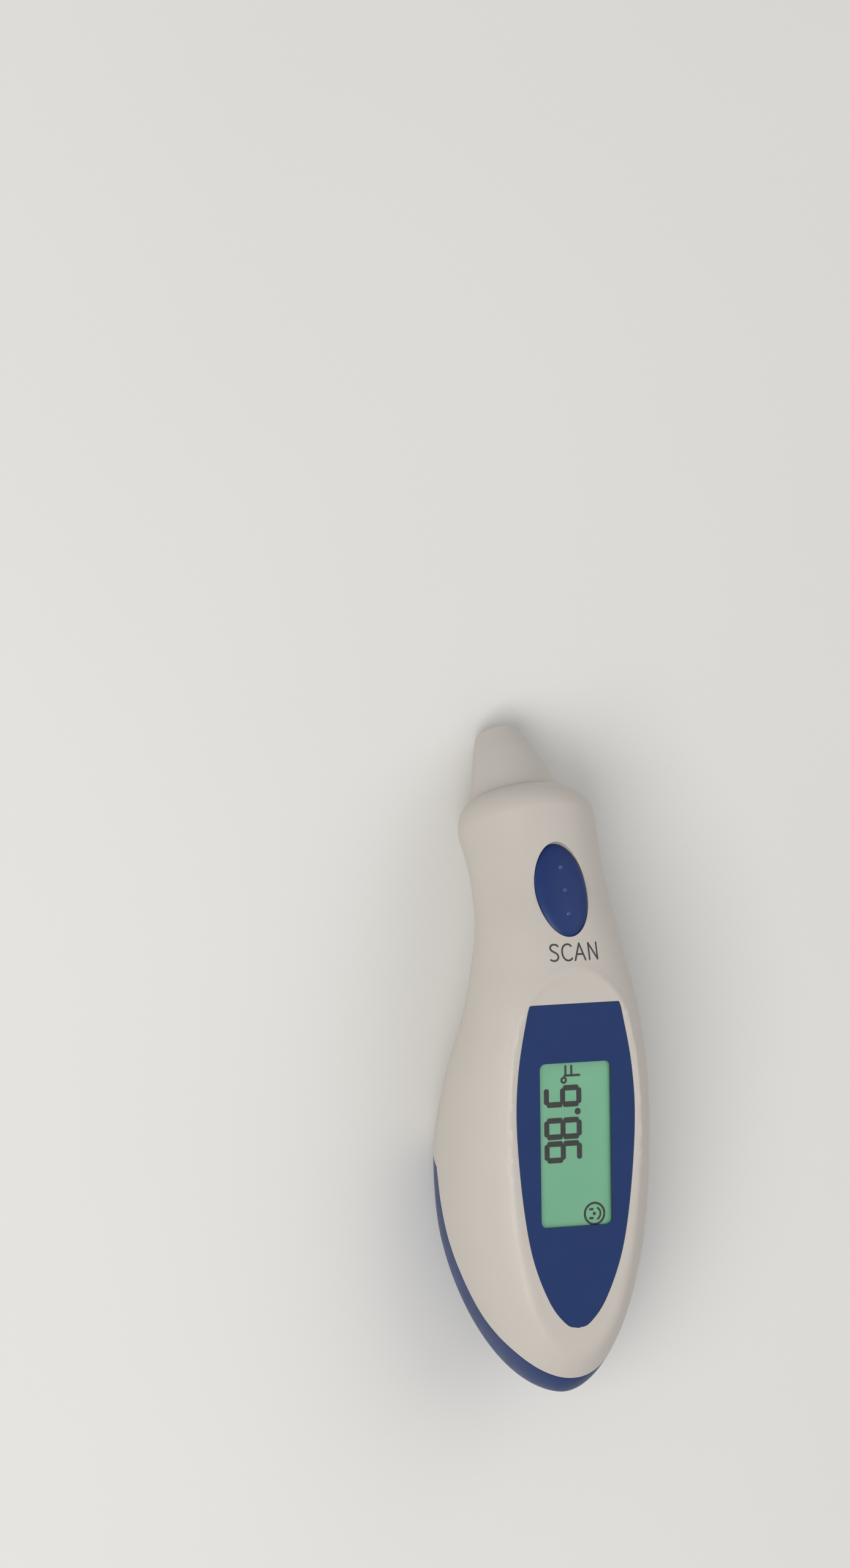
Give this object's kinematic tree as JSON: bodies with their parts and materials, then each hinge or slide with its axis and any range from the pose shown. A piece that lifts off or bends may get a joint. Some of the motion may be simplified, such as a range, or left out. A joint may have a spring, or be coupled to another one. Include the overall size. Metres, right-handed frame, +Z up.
{
  "type": "ear thermometer",
  "caption": "Handheld infrared ear thermometer with angled probe, scan button, display and sliding battery cover.",
  "frame": {"origin": "centre of the object's box on the plane it rests on", "axes": "+Z up, out of the display; +Y along the handle towards the probe; +X to the right of the display"},
  "size_m": [0.0414, 0.134, 0.0382],
  "materials": {
    "casing": "warm light grey, satin",
    "probe": "slightly darker grey, satin",
    "cover": "dark blue, satin",
    "button": "dark blue, soft gloss",
    "label": "dark blue printed panel",
    "clear": "clear window",
    "infrared_window": "thin dark window",
    "lcd": "green backlit display with dark segments",
    "white": "white",
    "black": "black moulded",
    "board": "green laminate",
    "steel": "plated steel",
    "brass": "gold plated",
    "rubber": "black rubber",
    "flex": "amber flexible circuit",
    "ceramic": "tan ceramic"
  },
  "bodies": {
    "handset": {"front_casing": "casing", "rear_casing": "casing", "probe_cone": "probe", "probe_window": "infrared_window", "waveguide_tube": "brass", "thermopile_sensor": "steel", "sensor_holder": "brass", "probe_seal": "rubber", "sensor_cable": "flex", "display_panel": "label", "display_window": "clear", "lcd_glass": "lcd", "lcd_backlight": "white", "lcd_frame": "black", "zebra_connector": "rubber", "main_board": "board", "microcontroller": "black", "crystal": "steel", "buzzer": "black", "capacitor_1": "ceramic", "capacitor_2": "ceramic", "backlight_led_1": "white", "backlight_led_2": "white", "board_screw_1": "steel", "board_screw_2": "steel", "switch_body": "black", "switch_board": "board", "switch_board_screw_1": "steel", "switch_board_screw_2": "steel", "battery_tray": "white", "coin_battery": "steel", "battery_contact_negative": "steel", "battery_contact_positive": "steel", "casing_screw_1": "steel", "casing_screw_2": "steel", "casing_screw_3": "steel", "casing_screw_4": "steel", "tray_screw_1": "steel", "tray_screw_2": "steel"},
    "button": {"scan_button": "button"},
    "plunger": {"switch_plunger": "white"},
    "cover": {"battery_cover": "cover"}
  },
  "joints": [
    {"name": "scan_button_press", "type": "slide", "parent": "handset", "child": "button", "axis": [0, -0.3437, -0.9391], "range_m": [0, 0.0006], "stiffness_N_per_m": 1500},
    {"name": "switch_plunger_press", "type": "slide", "parent": "handset", "child": "plunger", "axis": [0, -0.3437, -0.9391], "range_m": [0, 0.0004]},
    {"name": "battery_cover_slide", "type": "slide", "parent": "handset", "child": "cover", "axis": [0, -1, 0], "range_m": [0, 0.012]}
  ],
  "couplings": [
    {"joint": "switch_plunger_press", "follows": "scan_button_press", "ratio": 0.6}
  ]
}
